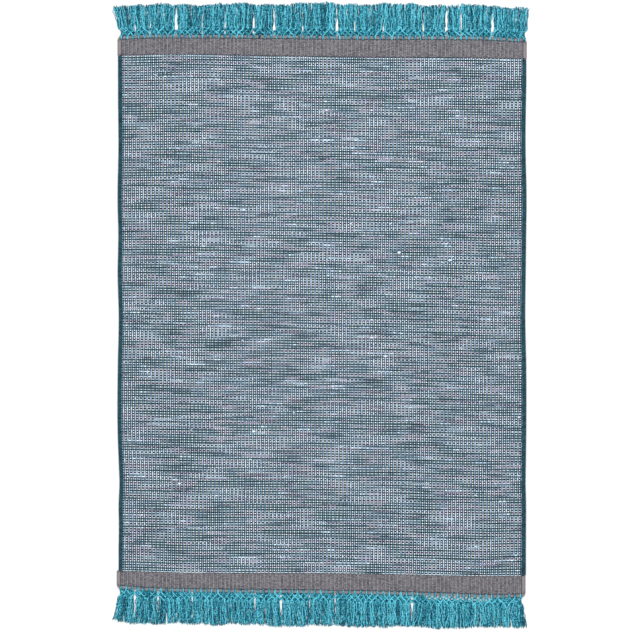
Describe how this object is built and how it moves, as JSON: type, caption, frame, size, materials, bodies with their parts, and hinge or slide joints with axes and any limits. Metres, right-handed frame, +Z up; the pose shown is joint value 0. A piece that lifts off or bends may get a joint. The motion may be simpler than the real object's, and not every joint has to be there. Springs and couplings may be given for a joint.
{
  "type": "flat-woven low pile rug",
  "caption": "Flat rectangular woven rug with a mottled field, ribbed end bands, whipped long sides and a netted fringe at each end.",
  "frame": {"origin": "under the middle of the whole rug, fringes included, at floor level", "axes": "+Y along the rug to its head end, +X across it, +Z up from the floor"},
  "size_m": [1.2163, 1.8388, 0.0112],
  "materials": {
    "field_weave": "matt flat weave of ecru and space-dyed slate and teal wefts over a dark warp",
    "band_cloth": "matt grey ribbed cloth with whipped short ends",
    "binding_yarn": "dark petrol yarn, whipped",
    "fringe_yarn": "teal yarn with a slight sheen"
  },
  "bodies": {
    "root": {"field": "field_weave", "head_band": "band_cloth", "foot_band": "band_cloth", "left_binding": "binding_yarn", "right_binding": "binding_yarn", "head_fringe": "fringe_yarn", "foot_fringe": "fringe_yarn"}
  },
  "joints": []
}
